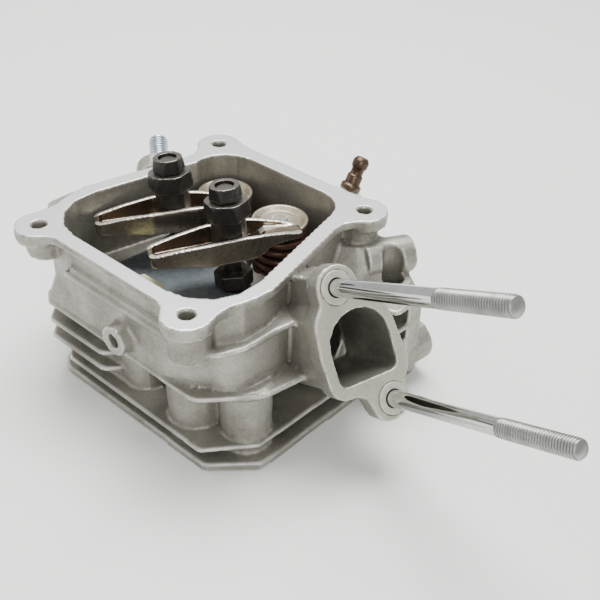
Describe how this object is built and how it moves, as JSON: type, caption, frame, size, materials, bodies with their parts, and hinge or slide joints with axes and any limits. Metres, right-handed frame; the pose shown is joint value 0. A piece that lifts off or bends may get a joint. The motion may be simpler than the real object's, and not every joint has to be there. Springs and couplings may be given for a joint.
{
  "type": "engine cylinder head",
  "caption": "Small-engine cylinder head with rocker box, valves, springs, rocker arms on ball pivots, port flanges and studs.",
  "frame": {"origin": "on the gasket face, at the middle of the four cover screws seen from above", "axes": "+Z out of the gasket face towards the rocker cover, +X towards the intake flange, +Y towards the spark plug, -Y the push-rod side"},
  "size_m": [0.2296, 0.1281, 0.1014],
  "materials": {
    "cast_aluminium": "die-cast aluminium, fine matte grain",
    "bright_steel": "ground steel",
    "sintered_iron": "sintered iron, dull",
    "spring_steel": "dark red-brown coating on spring wire",
    "retainer_steel": "yellow-passivated pressed steel",
    "black_oxide": "black oxide, oiled, worn on the faces",
    "arm_steel": "pressed steel with a bronze-brown temper colour and bright rims",
    "blue_steel": "blue-grey phosphated sheet steel",
    "seal_rubber": "oil-proof rubber",
    "guide_block": "cream moulded block",
    "ceramic": "glazed white ceramic",
    "terminal_brass": "tarnished brass",
    "stud_chrome": "bright plated steel, polished shank",
    "zinc_steel": "zinc-plated steel, bluish",
    "collar_paint": "pale sealing compound"
  },
  "bodies": {
    "head": {"intake_valve_seat": "sintered_iron", "intake_valve_guide": "sintered_iron", "intake_spring_seat": "blue_steel", "intake_valve_spring": "spring_steel", "intake_rocker_stud": "black_oxide", "exhaust_valve_seat": "sintered_iron", "exhaust_valve_guide": "sintered_iron", "exhaust_spring_seat": "blue_steel", "exhaust_valve_spring": "spring_steel", "exhaust_rocker_stud": "black_oxide", "head_casting": "cast_aluminium", "intake_stem_seal": "seal_rubber", "push_rod_guide_plate": "blue_steel", "guide_block": "guide_block", "spark_plug_shell": "zinc_steel", "spark_plug_insulator": "ceramic", "spark_plug_terminal": "terminal_brass", "spark_plug_electrode": "bright_steel", "spark_plug_washer": "zinc_steel", "upper_intake_stud": "stud_chrome", "lower_intake_stud": "stud_chrome", "upper_stud_collar": "collar_paint", "lower_stud_collar": "collar_paint", "upper_exhaust_stud": "zinc_steel", "lower_exhaust_stud": "zinc_steel"},
    "intake_valve_set": {"intake_valve": "bright_steel", "intake_spring_retainer": "retainer_steel"},
    "intake_pivot_set": {"intake_rocker_pivot": "black_oxide", "intake_lock_nut": "black_oxide"},
    "intake_rocker": {"intake_rocker_arm": "arm_steel"},
    "exhaust_valve_set": {"exhaust_valve": "bright_steel", "exhaust_spring_retainer": "retainer_steel", "exhaust_rotator_cap": "bright_steel"},
    "exhaust_pivot_set": {"exhaust_rocker_pivot": "black_oxide", "exhaust_lock_nut": "black_oxide"},
    "exhaust_rocker": {"exhaust_rocker_arm": "arm_steel"}
  },
  "joints": [
    {"name": "intake_valve_lift", "type": "slide", "parent": "head", "child": "intake_valve_set", "axis": [0, 0, -1], "range_m": [0, 0.006], "stiffness_N_per_m": 9000, "springref_m": -0.0015, "deforming": ["intake_valve_spring"]},
    {"name": "intake_rocker_swivel", "type": "hinge", "parent": "head", "child": "intake_pivot_set", "pos_m": [0.0088, 0.003, 0.054], "axis": [-0.1045, 0, 0.9945], "range_deg": [-4, 31]},
    {"name": "intake_rocker_rock", "type": "hinge", "parent": "intake_pivot_set", "child": "intake_rocker", "pos_m": [0.0088, 0.003, 0.054], "axis": [0.8525, -0.515, 0.0896], "range_deg": [0, 12]},
    {"name": "exhaust_valve_lift", "type": "slide", "parent": "head", "child": "exhaust_valve_set", "axis": [0, 0, -1], "range_m": [0, 0.006], "stiffness_N_per_m": 9000, "springref_m": -0.0015, "deforming": ["exhaust_valve_spring"]},
    {"name": "exhaust_rocker_swivel", "type": "hinge", "parent": "head", "child": "exhaust_pivot_set", "pos_m": [-0.0194, 0.003, 0.054], "axis": [-0.1045, 0, 0.9945], "range_deg": [-2, 35]},
    {"name": "exhaust_rocker_rock", "type": "hinge", "parent": "exhaust_pivot_set", "child": "exhaust_rocker", "pos_m": [-0.0194, 0.003, 0.054], "axis": [0.8147, -0.5736, 0.0856], "range_deg": [0, 12]}
  ]
}
